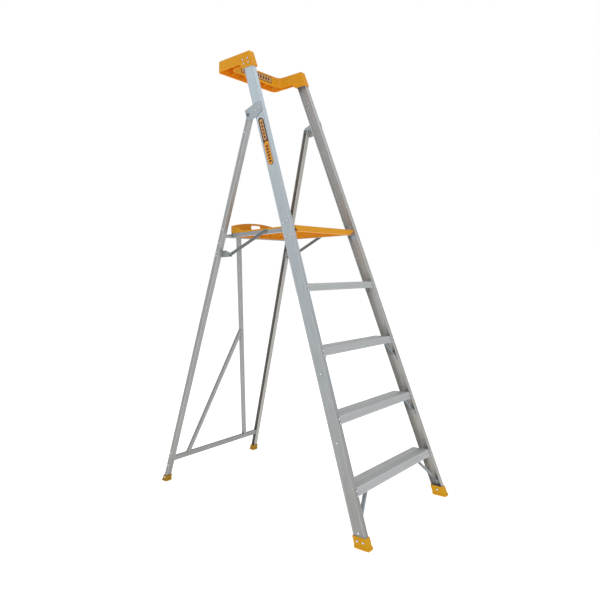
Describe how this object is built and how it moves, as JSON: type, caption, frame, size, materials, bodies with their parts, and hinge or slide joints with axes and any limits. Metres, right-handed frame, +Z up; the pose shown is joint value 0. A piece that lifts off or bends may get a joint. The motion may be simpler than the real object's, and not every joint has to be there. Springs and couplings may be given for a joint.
{
  "type": "platform step ladder",
  "caption": "Folding platform step ladder: sheet treads between channel stiles, braced rear legs, a moulded platform and a U-shaped top guard.",
  "frame": {"origin": "on the floor, midway between the front and rear feet and between the two sides", "axes": "+Z up, +Y the way the user faces when climbing, -X the user's left"},
  "size_m": [0.743, 1.374, 2.244],
  "materials": {
    "frame_aluminium": "satin mill-finish extrusion",
    "tread_aluminium": "ribbed mill-finish sheet",
    "zinc_steel": "dull galvanised pressing",
    "yellow_plastic": "fine-textured moulding",
    "foot_plastic": "fine-textured moulding",
    "fastener_steel": "bright zinc",
    "label_print": "printed plate with no text",
    "bush_nylon": "plain"
  },
  "bodies": {
    "front_frame": {"stile_left": "frame_aluminium", "stile_right": "frame_aluminium", "tread_1": "tread_aluminium", "tread_2": "tread_aluminium", "tread_3": "tread_aluminium", "tread_4": "tread_aluminium", "brace_1_left": "zinc_steel", "brace_1_right": "zinc_steel", "brace_2_left": "zinc_steel", "brace_2_right": "zinc_steel", "brace_3_left": "zinc_steel", "brace_3_right": "zinc_steel", "front_foot_left": "foot_plastic", "front_foot_right": "foot_plastic", "hinge_plate_left": "zinc_steel", "hinge_plate_right": "zinc_steel", "hinge_bolt_left": "fastener_steel", "hinge_bolt_right": "fastener_steel", "pivot_bracket_left": "zinc_steel", "pivot_bracket_right": "zinc_steel", "top_guard": "yellow_plastic", "stile_label": "label_print", "guard_label": "label_print", "tread_rivets": "fastener_steel", "web_rivets": "fastener_steel"},
    "rear_frame": {"leg_left": "frame_aluminium", "leg_right": "frame_aluminium", "hinge_bush_left": "bush_nylon", "hinge_bush_right": "bush_nylon", "lower_bar": "frame_aluminium", "upper_bar": "frame_aluminium", "lower_bar_bracket_left": "zinc_steel", "lower_bar_bracket_right": "zinc_steel", "upper_bar_bracket_left": "zinc_steel", "upper_bar_bracket_right": "zinc_steel", "diagonal_long": "frame_aluminium", "diagonal_short": "frame_aluminium", "rear_foot_left": "foot_plastic", "rear_foot_right": "foot_plastic", "strut_bracket_left": "zinc_steel", "strut_bracket_right": "zinc_steel", "strut_pin_left": "fastener_steel", "strut_pin_right": "fastener_steel", "leg_rivets": "fastener_steel"},
    "platform": {"platform_deck": "yellow_plastic", "platform_rail_left": "frame_aluminium", "platform_rail_right": "frame_aluminium", "platform_hook_left": "zinc_steel", "platform_hook_right": "zinc_steel", "platform_pin_left": "fastener_steel", "platform_pin_right": "fastener_steel", "platform_rivets": "fastener_steel"},
    "strut_left": {"strut_left": "zinc_steel", "strut_rivet_left": "fastener_steel"},
    "strut_right": {"strut_right": "zinc_steel", "strut_rivet_right": "fastener_steel"}
  },
  "joints": [
    {"name": "rear_frame_fold", "type": "hinge", "parent": "front_frame", "child": "rear_frame", "pos_m": [0, 0.05826, 1.922], "axis": [-1, 0, 0], "range_deg": [0, 35.96]},
    {"name": "platform_fold", "type": "hinge", "parent": "front_frame", "child": "platform", "pos_m": [0, -0.22, 1.353], "axis": [1, 0, 0], "range_deg": [0, 71.66]},
    {"name": "strut_left_turn", "type": "hinge", "parent": "rear_frame", "child": "strut_left", "pos_m": [-0.243, 0.199, 1.24], "axis": [-1, 0, 0], "range_deg": [0, 47.59]},
    {"name": "strut_right_turn", "type": "hinge", "parent": "rear_frame", "child": "strut_right", "pos_m": [0.243, 0.199, 1.24], "axis": [-1, 0, 0], "range_deg": [0, 47.59]}
  ],
  "couplings": [
    {"joint": "platform_fold", "follows": "rear_frame_fold", "ratio": 1.9926},
    {"joint": "strut_left_turn", "follows": "rear_frame_fold", "ratio": 1.3234},
    {"joint": "strut_right_turn", "follows": "rear_frame_fold", "ratio": 1.3234}
  ]
}
